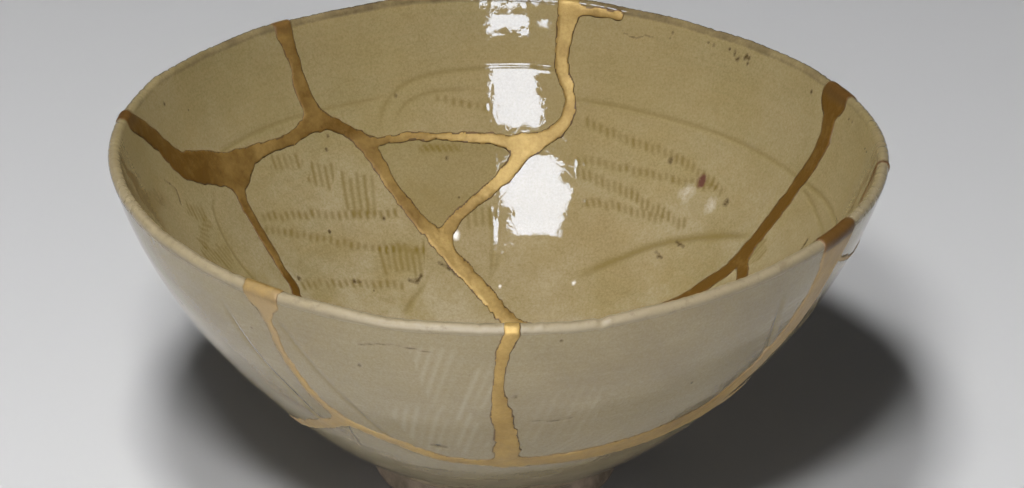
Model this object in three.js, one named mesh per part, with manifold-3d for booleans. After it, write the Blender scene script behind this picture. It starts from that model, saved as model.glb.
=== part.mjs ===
// A celadon tea bowl, broken into sherds and joined again with gold lacquer.
// Millimetres, +Z up, foot ring standing on z = 0, the axis of the bowl on x = y = 0.
// Azimuths are in degrees from +X towards +Y, and the front of the bowl faces -Y.
import * as THREE from 'three';
import { mergeVertices } from 'three/addons/utils/BufferGeometryUtils.js';
import Module from 'manifold-3d';

const wasm = await Module();
wasm.setup();

// Driving dimensions of the pot
const rimRadius = 80.2;
const bowlHeight = 73;
const lipThickness = 2.5;
const baseThickness = 5.4;
const floorThickness = 5.8;
const floorBlend = 3;

// Outer profile: a curve from the foot to the lip, with a slope and a fullness at each end
const footJointRadius = 27.5;
const footSlope = THREE.MathUtils.degToRad(34);
const footFullness = 41.5;
const rimSlope = THREE.MathUtils.degToRad(74);
const rimFullness = 18.2;

// Foot ring
const footHeight = 6.5;
const footOuterRadius = 25.9;
const footRingWidth = 4.4;
const footRecessDepth = 4.4;
const footChamfer = 0.6;
const footInnerTaper = 1.4;
const footShoulder = 1;

// Kiln warp of the rim, fading to nothing at the foot: an oval and two waves in height
const rimOval = { rise: 0.68, crest: THREE.MathUtils.degToRad(14), waves: 2 };
const rimSag = { rise: 0.87, crest: THREE.MathUtils.degToRad(-22), waves: 2 };
const rimRipple = { rise: 0.78, crest: THREE.MathUtils.degToRad(-32), waves: 3 };

// Lacquer: how proud it stands on both faces, and the clearance to the sherds
const lacquerProud = 0.35;
const lacquerClearance = 0.3;

// How far a seam's blade is carried on above the lip
const lipOverrun = 2;

// Carved lines inside the bowl
const carvedWidth = 1.3;
const carvedDepth = 0.5;

// Fineness of the facets
const roundSteps = 50;
const wallSteps = 8;
const lipSteps = 3;
const floorSteps = 2;
const seamStep = 14;
const jointSides = 6;

// Corners closer than this are one corner, and a depth is found by this many halvings
const mergeTolerance = 1e-4;
const halvings = 30;

// Seams that the lacquer fills. Each point is [azimuth, depth below the rim, width], and the depth is
// measured on the face that is named. A seam that starts or ends at the rim runs out over the lip.
const seams = [
  {
    face: 'inside',
    opensAt: 'start',
    points: [
      [172, 0, 4.4], [168.6, 3.6, 4.8], [165, 9.3, 4.9], [162, 14.9, 6.3], [157, 17.6, 8],
      [153, 19.9, 8], [149, 21.6, 8.4],
    ],
  },
  {
    face: 'inside',
    points: [
      [149, 21.6, 8.4], [143.5, 20.7, 4.4], [138.5, 20.8, 2.7], [132.9, 20.8, 3], [126.6, 18.8, 4],
    ],
  },
  {
    face: 'inside',
    opensAt: 'start',
    points: [
      [128.2, 0, 4.6], [127.5, 6.5, 2.8], [127.6, 11.3, 3.6], [126.6, 18.8, 4.4],
    ],
  },
  {
    face: 'inside',
    points: [
      [126.6, 18.8, 4.4], [121, 22, 2.8], [117.4, 25.6, 3.6],
    ],
  },
  {
    face: 'inside',
    points: [
      [117.4, 25.6, 3.6], [115.2, 31.4, 3.1], [112.5, 36.6, 2.8], [109.2, 41, 3.5],
      [105.4, 44, 4.2],
    ],
  },
  {
    face: 'inside',
    points: [
      [105.4, 44, 4.2], [103, 47, 4], [97.4, 50.8, 3.8], [91.6, 54, 3.7], [84, 57, 3.4],
      [66, 58.2, 3], [48, 55, 3], [36, 50, 3], [28.7, 45.2, 3.2],
    ],
  },
  {
    face: 'inside',
    points: [
      [117.4, 25.6, 2], [108.2, 25.4, 1.7], [101.3, 26.1, 1.8], [92, 26.8, 2.7], [84.1, 27.6, 4.6],
    ],
  },
  {
    face: 'inside',
    points: [
      [84.1, 27.6, 4.8], [87.9, 32.8, 3.3], [93.5, 36.8, 2.7], [100.1, 40.4, 2.5], [105.4, 44, 3.6],
    ],
  },
  {
    face: 'inside',
    opensAt: 'start',
    points: [
      [78.6, 0, 4.8], [78.9, 8, 3.5], [78.7, 13.3, 3.1], [76.6, 18.5, 2.6], [77.3, 23, 3],
      [79.8, 25.8, 3.6], [84.1, 27.6, 4.6],
    ],
  },
  {
    face: 'inside',
    points: [
      [149.6, 21.6, 5], [151.4, 27.9, 2.6], [152.9, 37.1, 2.3], [156, 44.8, 2.4], [168, 48.5, 2.6],
      [188, 50, 2.6], [208, 47, 2.6], [226, 40, 2.8], [241.5, 30.8, 3.2],
    ],
  },
  {
    face: 'inside',
    opensAt: 'start',
    points: [
      [23, 0, 10], [22.4, 3.2, 5.6], [20.8, 10.4, 4.3], [21.9, 22, 3.8], [22.8, 33.2, 3.4],
    ],
  },
  {
    face: 'inside',
    points: [
      [22.8, 33.2, 3.4], [24, 38.2, 3.2], [28.7, 45.2, 3.2],
    ],
  },
  {
    face: 'inside',
    points: [
      [22.8, 33.2, 3.4], [19.6, 36, 3.4], [12, 38, 3], [-4, 39, 3], [-22, 38.6, 3], [-36, 37.6, 4],
      [-44.5, 36.8, 7],
    ],
  },
  {
    face: 'outside',
    opensAt: 'start',
    points: [
      [-31.8, 0, 12], [-32.4, 8, 8.4], [-33.8, 19.7, 7.8], [-37.9, 29.6, 7.8], [-44, 38.6, 8],
    ],
  },
  {
    face: 'outside',
    points: [
      [-44, 38.6, 8], [-56, 40.6, 8], [-67.6, 41.7, 7], [-80, 42.1, 5.4], [-87.7, 42.4, 5],
    ],
  },
  {
    face: 'outside',
    opensAt: 'start',
    points: [
      [-87.9, 0, 3.2], [-89.1, 5.2, 2.7], [-89.6, 14.2, 2.1], [-89, 24, 4.2], [-88.3, 29, 4],
      [-87.7, 37, 5], [-87.7, 42.4, 5],
    ],
  },
  {
    face: 'outside',
    points: [
      [-87.7, 42.4, 4.4], [-96, 42.1, 3.2], [-102, 40.9, 3.2], [-108.6, 37.4, 3.2],
      [-118.5, 32.9, 2.8],
    ],
  },
  {
    face: 'outside',
    opensAt: 'start',
    points: [
      [-125, 0, 8.4], [-124.9, 2.2, 4.6], [-124.7, 6, 2], [-123.9, 17, 1.8], [-121.6, 27, 2.2],
      [-118.5, 32.9, 2.8],
    ],
  },
  {
    face: 'inside',
    opensAt: 'start',
    points: [
      [-6, 0, 1.4], [-6.6, 3.4, 0.8], [-9.2, 8, 0.8], [-14, 10.6, 0.8], [-20.5, 10, 0.8],
      [-30, 5, 1.2],
    ],
  },
];

// A strip of the rim beside the back seam that is lost and filled, as azimuths, depth and height
const rimFill = { from: 70, to: 79, depth: 0.2, width: 2.4 };

// Carved lines as [azimuth, depth below the rim] on the inside
const carvedLines = [
  [[75, 18], [50, 17], [22, 17.8], [-8, 16.4], [-30, 17]],
  [[113.4, 21.7], [109.7, 17.2], [104, 14.7], [95, 13.8], [82, 12.6]],
  [[67, 49.5], [55.5, 44.9], [42, 38.8], [27, 32.6]],
  [[156, 23], [158.7, 27.1], [161, 36]],
];

const celadon = { color: 0x8f8660, roughness: 0.22, metalness: 0 };

// A place in the middle of each sherd, as [azimuth, depth below the rim on the inside]
const sherds = {
  base_sherd: [-90, 52],
  rim_sherd_left: [200, 20],
  rim_sherd_back_left: [150, 8],
  rim_sherd_back: [103, 14],
  wall_sherd_triangle: [98, 31],
  rim_sherd_back_right: [50, 25],
  rim_sherd_right: [5, 22],
  rim_chip_right: [-17, 5],
  rim_sherd_front_right: [-62, 18],
  rim_sherd_front_left: [-107, 18],
};

const degrees = THREE.MathUtils.degToRad;
const lerp = THREE.MathUtils.lerp;

// Outer profile in the plane of radius and height, u from 0 at the foot to 1 at the lip
const outerCurve = new THREE.CubicBezierCurve(
  new THREE.Vector2(footJointRadius, footHeight),
  new THREE.Vector2(
    footJointRadius + footFullness * Math.cos(footSlope),
    footHeight + footFullness * Math.sin(footSlope),
  ),
  new THREE.Vector2(
    rimRadius - rimFullness * Math.cos(rimSlope),
    bowlHeight - rimFullness * Math.sin(rimSlope),
  ),
  new THREE.Vector2(rimRadius, bowlHeight),
);

const thicknessAt = (u) => lerp(baseThickness, lipThickness, u);

// Point on the wall: along is the profile's direction up to the rim, out its outward normal
function wallAt(u) {
  const point = outerCurve.getPoint(u);
  const along = outerCurve.getTangent(u);
  return { point, along, out: new THREE.Vector2(along.y, -along.x), thickness: thicknessAt(u) };
}

function offsetPoint(u, inwards) {
  const wall = wallAt(u);
  return wall.point.clone().addScaledVector(wall.out, -inwards);
}

// The inner face runs parallel to the wall and eases into the flat floor
const floorLevel = footRecessDepth + floorThickness;
function easeToFloor(height, lift) {
  const above = height - floorLevel - lift;
  return floorLevel + lift + 0.5 * (above + Math.hypot(above, floorBlend));
}

// Finds u where the named face lies at a depth below the rim
function uAtDepth(depth, face) {
  let low = 0;
  let high = 1;
  for (let turn = 0; turn < halvings; turn += 1) {
    const u = (low + high) / 2;
    const inwards = face === 'inside' ? thicknessAt(u) : 0;
    if (offsetPoint(u, inwards).y < bowlHeight - depth) low = u;
    else high = u;
  }
  return high;
}

const wave = (shape, azimuth) => shape.rise * Math.cos(shape.waves * (azimuth - shape.crest));

// Kiln warp of a point of the round bowl
function warped(point) {
  const azimuth = Math.atan2(point.y, point.x);
  const share = Math.max(0, (point.z - footHeight) / (bowlHeight - footHeight));
  const stretch = share * wave(rimOval, azimuth);
  const lift = share * (wave(rimSag, azimuth) + wave(rimRipple, azimuth));
  return new THREE.Vector3(
    point.x + stretch * Math.cos(azimuth),
    point.y + stretch * Math.sin(azimuth),
    point.z + lift,
  );
}

// Closed solid from positions and triangles, with its faces turned out
function solidOf(geometry) {
  geometry.deleteAttribute('normal');
  geometry.deleteAttribute('uv');
  const merged = mergeVertices(geometry, mergeTolerance);
  const index = merged.index.array;
  const triangles = [];
  for (let i = 0; i < index.length; i += 3) {
    const [a, b, c] = [index[i], index[i + 1], index[i + 2]];
    if (a !== b && b !== c && c !== a) triangles.push(a, b, c);
  }
  const mesh = (order) => new wasm.Mesh({
    numProp: 3,
    vertProperties: new Float32Array(merged.attributes.position.array),
    triVerts: new Uint32Array(order),
  });
  const solid = new wasm.Manifold(mesh(triangles));
  return solid.volume() > 0 ? solid : new wasm.Manifold(mesh(triangles.reverse()));
}

// The thrown pot as one solid, grown by proud on the outer and inner faces of its wall
function potSolid(proud) {
  const ringInner = footOuterRadius - footRingWidth;
  const profile = [
    new THREE.Vector2(0, footRecessDepth - proud),
    new THREE.Vector2(ringInner - footInnerTaper, footRecessDepth - proud),
    new THREE.Vector2(ringInner - proud, footChamfer),
    new THREE.Vector2(ringInner + footChamfer, 0),
    new THREE.Vector2(footOuterRadius - footChamfer, 0),
    new THREE.Vector2(footOuterRadius + proud, footChamfer),
    new THREE.Vector2(footOuterRadius + proud, footHeight - footShoulder),
  ];
  for (let i = 0; i <= wallSteps; i += 1) profile.push(offsetPoint(i / wallSteps, -proud));
  const lip = wallAt(1);
  const lipRadius = lip.thickness / 2 + proud;
  const lipCentre = lip.point.clone().addScaledVector(lip.out, -lip.thickness / 2);
  for (let i = 1; i < lipSteps; i += 1) {
    const turn = Math.PI * i / lipSteps;
    profile.push(lipCentre.clone()
      .addScaledVector(lip.out, lipRadius * Math.cos(turn))
      .addScaledVector(lip.along, lipRadius * Math.sin(turn)));
  }
  for (let i = wallSteps; i >= 0; i -= 1) {
    const u = i / wallSteps;
    const inner = offsetPoint(u, thicknessAt(u) + proud);
    profile.push(new THREE.Vector2(inner.x, easeToFloor(inner.y, proud)));
  }
  const edge = profile[profile.length - 1];
  const edgeInner = offsetPoint(0, thicknessAt(0) + proud);
  for (let i = 1; i <= floorSteps; i += 1) {
    const share = 1 - i / floorSteps;
    const height = edgeInner.y - (edge.x * (1 - share)) * Math.tan(footSlope);
    profile.push(new THREE.Vector2(edge.x * share, easeToFloor(height, proud)));
  }
  const geometry = new THREE.LatheGeometry(profile, roundSteps);
  geometry.rotateX(Math.PI / 2);
  const position = geometry.attributes.position;
  const point = new THREE.Vector3();
  for (let i = 0; i < position.count; i += 1) {
    point.fromBufferAttribute(position, i);
    const moved = warped(point);
    position.setXYZ(i, moved.x, moved.y, moved.z);
  }
  return solidOf(geometry);
}

// Frame on the middle of the wall: position, outward normal and the direction up to the rim
function wallFrame(azimuth, u, inwards) {
  const wall = wallAt(u);
  const flat = offsetPoint(u, inwards);
  const turn = (v) => new THREE.Vector3(v.x * Math.cos(azimuth), v.x * Math.sin(azimuth), v.y);
  return {
    position: warped(turn(flat)),
    out: turn(wall.out),
    up: turn(wall.along),
    thickness: wall.thickness,
  };
}

// Stations along a path on the wall, close enough together to follow its curve
function stationsOf(points, face) {
  const stations = [];
  const place = ([azimuth, depth, width]) => ({ azimuth: degrees(azimuth), u: uAtDepth(depth, face), width });
  for (let i = 0; i < points.length - 1; i += 1) {
    const a = place(points[i]);
    const b = place(points[i + 1]);
    const near = wallFrame(a.azimuth, a.u, 0).position;
    const far = wallFrame(b.azimuth, b.u, 0).position;
    const count = Math.max(1, Math.round(near.distanceTo(far) / seamStep));
    for (let k = i === 0 ? 0 : 1; k <= count; k += 1) {
      const share = k / count;
      stations.push({
        azimuth: lerp(a.azimuth, b.azimuth, share),
        u: lerp(a.u, b.u, share),
        width: lerp(a.width, b.width, share),
      });
    }
  }
  return stations;
}

// Solid swept along frames, each with the four corners of its section
function sweptSolid(sections) {
  const position = sections.flat().flatMap((corner) => corner.toArray());
  const index = [];
  const last = sections.length - 1;
  for (let i = 0; i < last; i += 1) {
    for (let k = 0; k < 4; k += 1) {
      const a = 4 * i + k;
      const b = 4 * i + (k + 1) % 4;
      index.push(a, b, a + 4, b, b + 4, a + 4);
    }
  }
  index.push(0, 2, 1, 0, 3, 2);
  index.push(4 * last, 4 * last + 1, 4 * last + 2, 4 * last, 4 * last + 2, 4 * last + 3);
  const geometry = new THREE.BufferGeometry();
  geometry.setAttribute('position', new THREE.Float32BufferAttribute(position, 3));
  geometry.setIndex(index);
  return solidOf(geometry);
}

// Blade along a path: margin widens it, and the levels are distances out from the middle of the wall
function bladeSolid(stations, opensAt, margin, levelsAt) {
  const frames = stations.map((s) => ({ ...s, ...wallFrame(s.azimuth, s.u, thicknessAt(s.u) / 2) }));
  const overLip = 2 * lipThickness + lipOverrun;
  if (opensAt === 'start') {
    const first = frames[0];
    frames.unshift({ ...first, position: first.position.clone().addScaledVector(first.up, overLip) });
  }
  const sections = frames.map((frame, i) => {
    const before = frames[Math.max(0, i - 1)].position;
    const after = frames[Math.min(frames.length - 1, i + 1)].position;
    const along = after.clone().sub(before).normalize();
    const side = frame.out.clone().cross(along).normalize().multiplyScalar(frame.width / 2 + margin);
    const [inner, outer] = levelsAt(frame);
    const low = frame.position.clone().addScaledVector(frame.out, inner);
    const high = frame.position.clone().addScaledVector(frame.out, outer);
    return [low.clone().sub(side), low.clone().add(side), high.clone().add(side), high.clone().sub(side)];
  });
  return sweptSolid(sections);
}

// Short prism through the wall at the end of a seam, so that seams meet without a notch
function jointSolid(station, margin, levelsAt) {
  const frame = wallFrame(station.azimuth, station.u, thicknessAt(station.u) / 2);
  const [inner, outer] = levelsAt(frame);
  const geometry = new THREE.CylinderGeometry(1, 1, outer - inner, jointSides);
  const radius = station.width / 2 + margin;
  geometry.scale(radius, 1, radius);
  geometry.translate(0, (outer + inner) / 2, 0);
  geometry.applyQuaternion(new THREE.Quaternion().setFromUnitVectors(new THREE.Vector3(0, 1, 0), frame.out));
  geometry.translate(frame.position.x, frame.position.y, frame.position.z);
  return solidOf(geometry);
}

// Everything that the lacquer fills, widened by margin
const throughMargin = 3;
const throughLevels = (frame) => {
  const reach = frame.thickness / 2 + throughMargin;
  return [-reach, reach];
};

function seamNetwork(margin) {
  const parts = [];
  for (const seam of seams) {
    const stations = stationsOf(seam.points, seam.face);
    parts.push(bladeSolid(stations, seam.opensAt, margin, throughLevels));
    if (!seam.opensAt) parts.push(jointSolid(stations[0], margin, throughLevels));
    parts.push(jointSolid(stations[stations.length - 1], margin, throughLevels));
  }
  const strip = [[rimFill.to, rimFill.depth, rimFill.width], [rimFill.from, rimFill.depth, rimFill.width]];
  parts.push(bladeSolid(stationsOf(strip, 'inside'), 'none', margin, throughLevels));
  return wasm.Manifold.union(parts);
}

// Grooves cut into the inner face
function carvedGrooves() {
  const beyond = 2;
  const levels = (frame) => [-frame.thickness / 2 - beyond, carvedDepth - frame.thickness / 2];
  return wasm.Manifold.union(carvedLines.map((line) => {
    const points = line.map(([azimuth, depth]) => [azimuth, depth, carvedWidth]);
    return bladeSolid(stationsOf(points, 'inside'), 'none', 0, levels);
  }));
}

function meshOf(solid, name, look) {
  const { vertProperties, triVerts } = solid.getMesh();
  const geometry = new THREE.BufferGeometry();
  geometry.setAttribute('position', new THREE.BufferAttribute(new Float32Array(vertProperties), 3));
  geometry.setIndex(new THREE.BufferAttribute(new Uint32Array(triVerts), 1));
  geometry.computeVertexNormals();
  const mesh = new THREE.Mesh(geometry, new THREE.MeshStandardMaterial(look));
  mesh.name = name;
  return mesh;
}

const group = new THREE.Group();

// Sherds: the pot cut along the seams, each found by a small cube set into its wall
const broken = potSolid(0).subtract(carvedGrooves()).subtract(seamNetwork(lacquerClearance)).decompose();
const probeSize = 0.5;
for (const [name, [azimuth, depth]] of Object.entries(sherds)) {
  const u = uAtDepth(depth, 'inside');
  const place = wallFrame(degrees(azimuth), u, thicknessAt(u) / 2).position;
  const cube = new THREE.BoxGeometry(probeSize, probeSize, probeSize);
  const probe = solidOf(cube.translate(place.x, place.y, place.z));
  const sherd = broken.find((piece) => piece.intersect(probe).volume() > 0);
  group.add(meshOf(sherd, name, celadon));
}

// Lacquer and gold
const gold = { color: 0xb08a3c, roughness: 0.32, metalness: 1 };
const lacquer = potSolid(lacquerProud).intersect(seamNetwork(0)).decompose();
lacquer.sort((a, b) => b.volume() - a.volume());
group.add(meshOf(lacquer[0], 'gold_lacquer_seams', gold));

export default group;
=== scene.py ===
# Looks of the kintsugi bowl: fine sherds with carved and combed relief, and one raised gold network.
# Metres in Blender; the bowl is worked out in millimetres and scaled once when its meshes are made.
import functools
import math
from collections import namedtuple

import bpy
import numpy as np
from mathutils import Matrix, Vector


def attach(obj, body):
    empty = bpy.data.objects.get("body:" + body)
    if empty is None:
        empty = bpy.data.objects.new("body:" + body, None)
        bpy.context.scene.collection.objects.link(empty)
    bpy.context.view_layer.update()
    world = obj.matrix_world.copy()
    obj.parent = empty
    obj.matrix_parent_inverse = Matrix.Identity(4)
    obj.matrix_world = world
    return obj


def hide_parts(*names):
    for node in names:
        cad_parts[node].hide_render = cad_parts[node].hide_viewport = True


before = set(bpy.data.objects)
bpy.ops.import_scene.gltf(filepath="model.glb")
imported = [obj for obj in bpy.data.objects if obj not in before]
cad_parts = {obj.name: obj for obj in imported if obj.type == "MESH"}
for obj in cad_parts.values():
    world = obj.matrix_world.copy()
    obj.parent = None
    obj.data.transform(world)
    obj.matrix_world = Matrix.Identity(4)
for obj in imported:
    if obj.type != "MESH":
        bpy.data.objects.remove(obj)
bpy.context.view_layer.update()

MM = 0.001
rng = np.random.default_rng(11)

# Sizes of the pot in millimetres, as in the solids
RIM_RADIUS = 80.2
BOWL_HEIGHT = 73.0
LIP_THICKNESS = 2.5
BASE_THICKNESS = 5.4
FLOOR_THICKNESS = 5.8
FLOOR_BLEND = 3.0
FOOT_JOINT_RADIUS = 27.5
FOOT_SLOPE = math.radians(34)
FOOT_FULLNESS = 41.5
RIM_SLOPE = math.radians(74)
RIM_FULLNESS = 18.2
FOOT_HEIGHT = 6.5
FOOT_OUTER_RADIUS = 25.9
FOOT_RING_WIDTH = 4.4
FOOT_RECESS_DEPTH = 4.4
FOOT_CHAMFER = 0.6
FOOT_INNER_TAPER = 1.4
RIM_OVAL = (0.68, math.radians(14), 2)
RIM_SAG = (0.87, math.radians(-22), 2)
RIM_RIPPLE = (0.78, math.radians(-32), 3)

# Fineness of the meshes
ROUND_STEPS = 1200
WALL_STEPS = 168
LIP_STEPS = 8
FLOOR_STEPS = 16
GOLD_ROUND_STEPS = 1130
GOLD_WALL_STEPS = 158
GOLD_LIP_STEPS = 12

# Seams in the wall: the face on which depth is measured, whether it runs out over the rim, and points of
# azimuth in degrees, depth below the rim and width in millimetres
SEAMS = [
    ("inside", True, [(172, 0, 4.4), (168.6, 3.6, 4.8), (165, 9.3, 4.9), (162, 14.9, 6.3),
        (157, 17.6, 8), (153, 19.9, 8), (149, 21.6, 8.4)]),
    ("inside", False, [(149, 21.6, 8.4), (143.5, 20.7, 4.4), (138.5, 20.8, 2.7), (132.9, 20.8, 3),
        (126.6, 18.8, 4)]),
    ("inside", True, [(128.2, 0, 4.6), (127.5, 6.5, 2.8), (127.6, 11.3, 3.6), (126.6, 18.8, 4.4)]),
    ("inside", False, [(126.6, 18.8, 4.4), (121, 22, 2.8), (117.4, 25.6, 3.6)]),
    ("inside", False, [(117.4, 25.6, 3.6), (115.2, 31.4, 3.1), (112.5, 36.6, 2.8), (109.2, 41, 3.5),
        (105.4, 44, 4.2)]),
    ("inside", False, [(105.4, 44, 4.2), (103, 47, 4), (97.4, 50.8, 3.8), (91.6, 54, 3.7),
        (84, 57, 3.4), (66, 58.2, 3), (48, 55, 3), (36, 50, 3), (28.7, 45.2, 3.2)]),
    ("inside", False, [(117.4, 25.6, 2), (108.2, 25.4, 1.7), (101.3, 26.1, 1.8), (92, 26.8, 2.7),
        (84.1, 27.6, 4.6)]),
    ("inside", False, [(84.1, 27.6, 4.8), (87.9, 32.8, 3.3), (93.5, 36.8, 2.7), (100.1, 40.4, 2.5),
        (105.4, 44, 3.6)]),
    ("inside", True, [(78.6, 0, 4.8), (78.9, 8, 3.5), (78.7, 13.3, 3.1), (76.6, 18.5, 2.6),
        (77.3, 23, 3), (79.8, 25.8, 3.6), (84.1, 27.6, 4.6)]),
    ("inside", False, [(149.6, 21.6, 5), (151.4, 27.9, 2.6), (152.9, 37.1, 2.3), (156, 44.8, 2.4),
        (168, 48.5, 2.6), (188, 50, 2.6), (208, 47, 2.6), (226, 40, 2.8), (241.5, 30.8, 3.2)]),
    ("inside", True, [(23, 0, 10), (22.4, 3.2, 5.6), (20.8, 10.4, 4.3), (21.9, 22, 3.8),
        (22.8, 33.2, 3.4)]),
    ("inside", False, [(22.8, 33.2, 3.4), (24, 38.2, 3.2), (28.7, 45.2, 3.2)]),
    ("inside", False, [(22.8, 33.2, 3.4), (19.6, 36, 3.4), (12, 38, 3), (-4, 39, 3), (-22, 38.6, 3),
        (-36, 37.6, 4), (-44.5, 36.8, 7)]),
    ("outside", True, [(-31.8, 0, 12), (-32.4, 8, 8.4), (-33.8, 19.7, 7.8), (-37.9, 29.6, 7.8),
        (-44, 38.6, 8)]),
    ("outside", False, [(-44, 38.6, 8), (-56, 40.6, 8), (-67.6, 41.7, 7), (-80, 42.1, 5.4),
        (-87.7, 42.4, 5)]),
    ("outside", True, [(-87.9, 0, 3.2), (-89.1, 5.2, 2.7), (-89.6, 14.2, 2.1), (-89, 24, 4.2),
        (-88.3, 29, 4), (-87.7, 37, 5), (-87.7, 42.4, 5)]),
    ("outside", False, [(-87.7, 42.4, 4.4), (-96, 42.1, 3.2), (-102, 40.9, 3.2), (-108.6, 37.4, 3.2),
        (-118.5, 32.9, 2.8)]),
    ("outside", True, [(-125, 0, 8.4), (-124.9, 2.2, 4.6), (-124.7, 6, 2), (-123.9, 17, 1.8),
        (-121.6, 27, 2.2), (-118.5, 32.9, 2.8)]),
    ("inside", True, [(-6, 0, 1.4), (-6.6, 3.4, 0.8), (-9.2, 8, 0.8), (-14, 10.6, 0.8),
        (-20.5, 10, 0.8), (-30, 5, 1.2)]),
    ("inside", False, [(79, 0.2, 2.4), (70, 0.2, 2.0)]),
]
RIM_OVERRUN = 5.0

# The middle of each sherd: azimuth in degrees and depth below the rim on the inside
SHERDS = {
    "base_sherd": (-90, 52),
    "rim_sherd_left": (200, 20),
    "rim_sherd_back_left": (150, 8),
    "rim_sherd_back": (103, 14),
    "wall_sherd_triangle": (98, 31),
    "rim_sherd_back_right": (50, 25),
    "rim_sherd_right": (5, 22),
    "rim_chip_right": (-17, 5),
    "rim_sherd_front_right": (-62, 18),
    "rim_sherd_front_left": (-107, 18),
}

# How much darker than the rest some sherds fired
SHERD_TONES = {"wall_sherd_triangle": 0.34, "rim_sherd_left": 0.06, "rim_sherd_right": 0.05}

# Carved lines of each face: points of azimuth and depth, width and cut depth
CARVED_LINES = {
    "inside": [
        ([(156, 17.8), (141.9, 17.3), (129, 17.2), (114.3, 17.5), (110.5, 16.6)], 0.8, 0.2),
        ([(76.5, 13), (87, 13), (99.8, 13.8), (106, 14.8), (110.4, 17.2), (113, 20.6), (114.2, 24.5)],
            0.9, 0.16),
        ([(93.5, 17.5), (102, 17.4), (108, 19.2), (111.4, 23)], 0.8, 0.18),
        ([(78, 18.2), (60, 18.2), (42, 17.8), (23, 17.6), (10, 16.5), (-4, 16.2), (-30, 17),
            (-60, 17.6)], 0.9, 0.24),
        ([(23, 17.8), (19.7, 18.5), (11.8, 19.3), (0.4, 19.9), (-20, 20)], 0.8, 0.2),
        ([(66.4, 49.1), (56.6, 44.6), (47.5, 39.9), (37.9, 36), (25.7, 31.4), (23.5, 31)], 1.7, 0.42),
        ([(156, 22.6), (160.4, 24.6), (163.7, 31), (164.6, 38), (160, 47)], 0.8, 0.2),
        ([(127, 55), (120, 52.6), (114.4, 50.8), (110, 48.6)], 1.2, 0.3),
        ([(92.6, 51), (89.6, 47.6), (88.6, 45)], 1.3, 0.2),
        ([(92.5, 52), (91.4, 46.9), (91.2, 42), (91.6, 39)], 1.1, 0.15),
        ([(200, 17.5), (230, 17.2), (262, 17.4), (298, 17.6)], 1.3, 0.3),
        ([(-30, 48), (-52, 40), (-75, 35), (-100, 33)], 1.8, 0.4),
    ],
    "outside": [
        ([(-134, 5), (-131, 18), (-126.6, 30), (-124, 40)], 1.4, 0.3),
        ([(-124, 3), (-119, 16), (-113, 30), (-106, 44)], 1.2, 0.24),
    ],
}

# Rows of combed strokes of each face: row of azimuth and depth, length of a stroke, pitch, lean in degrees,
# and cut depth, which is below zero where the strokes are pale and raised
COMB_ROWS = {
    "inside": [
        ([(139.5, 22.8), (132.6, 26)], 3.6, 1.7, 20, 0.16),
        ([(131.5, 27), (127, 30)], 5.4, 1.8, 26, 0.18),
        ([(149.4, 31.3), (128.2, 36.4), (114.6, 38.4)], 2.2, 1.75, 4, 0.3),
        ([(150.6, 33), (127.5, 42.2), (109.5, 45.2)], 2, 1.75, -6, 0.26),
        ([(152, 43.6), (135.8, 47), (120, 50)], 2.2, 1.75, 4, 0.26),
        ([(168.4, 20.8), (164.3, 25), (172.5, 27)], 3.4, 1.5, 30, 0.16),
        ([(175, 28), (166, 33)], 5, 1.5, 34, 0.18),
        ([(73.4, 22.2), (64.8, 23.8), (55.3, 24.6), (48.4, 25.6), (38.5, 27.6)], 2.3, 1.7, 24, 0.28),
        ([(74, 29.4), (64.8, 29.3), (55.1, 28.9), (46.9, 28), (41, 27.4)], 2, 1.7, 20, 0.28),
        ([(73.5, 31.6), (66.1, 32.6), (59.7, 33.5), (50.6, 35), (43, 35.2)], 2.6, 1.6, 28, 0.26),
        ([(70, 36.4), (63.2, 36.2), (57, 36.1), (49, 36)], 2.2, 1.6, 24, 0.28),
        ([(102.5, 18.4), (95.8, 20.2), (91, 21)], 1.8, 1.9, 12, 0.22),
        ([(22, 31.4), (17.6, 33.6)], 6, 1.05, 30, 0.2),
        ([(98.4, 40.2), (90, 40.4)], 5, 1.7, 4, 0.2),
        ([(124, 45), (111, 46.6)], 7.4, 1.5, 4, 0.18),
        ([(126.4, 32.6), (118.5, 34.6)], 9.6, 1.75, 6, 0.16),
        ([(107, 27.8), (98, 28.4)], 2, 1.4, 34, 0.16),
        ([(205, 30), (222, 27), (240, 30)], 2.4, 1.8, 12, 0.2),
        ([(250, 30), (268, 27), (284, 31)], 2.4, 1.8, -12, 0.2),
        ([(-70, 30), (-54, 27), (-42, 31)], 2.4, 1.8, 10, 0.2),
        ([(-20, 30), (-6, 29), (8, 31)], 2.4, 1.8, 10, 0.2),
    ],
    "outside": [
        ([(-101, 16), (-90, 14)], 19, 2.1, 24, -0.2),
        ([(-106, 33), (-92, 30)], 19, 2.1, 26, -0.17),
        ([(-86, 24), (-73, 23)], 22, 2.2, 14, -0.1),
        ([(-84, 36), (-66, 37)], 9, 1.9, 30, -0.12),
        ([(-133, 12), (-128, 22)], 10, 1.7, 20, -0.14),
        ([(-74, 54), (-55, 55)], 6, 1.6, 30, -0.16),
    ],
}
# How many times the outside front's combing and carved lines stand round the bowl, the front's included
OUTSIDE_COPIES = 4

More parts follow.
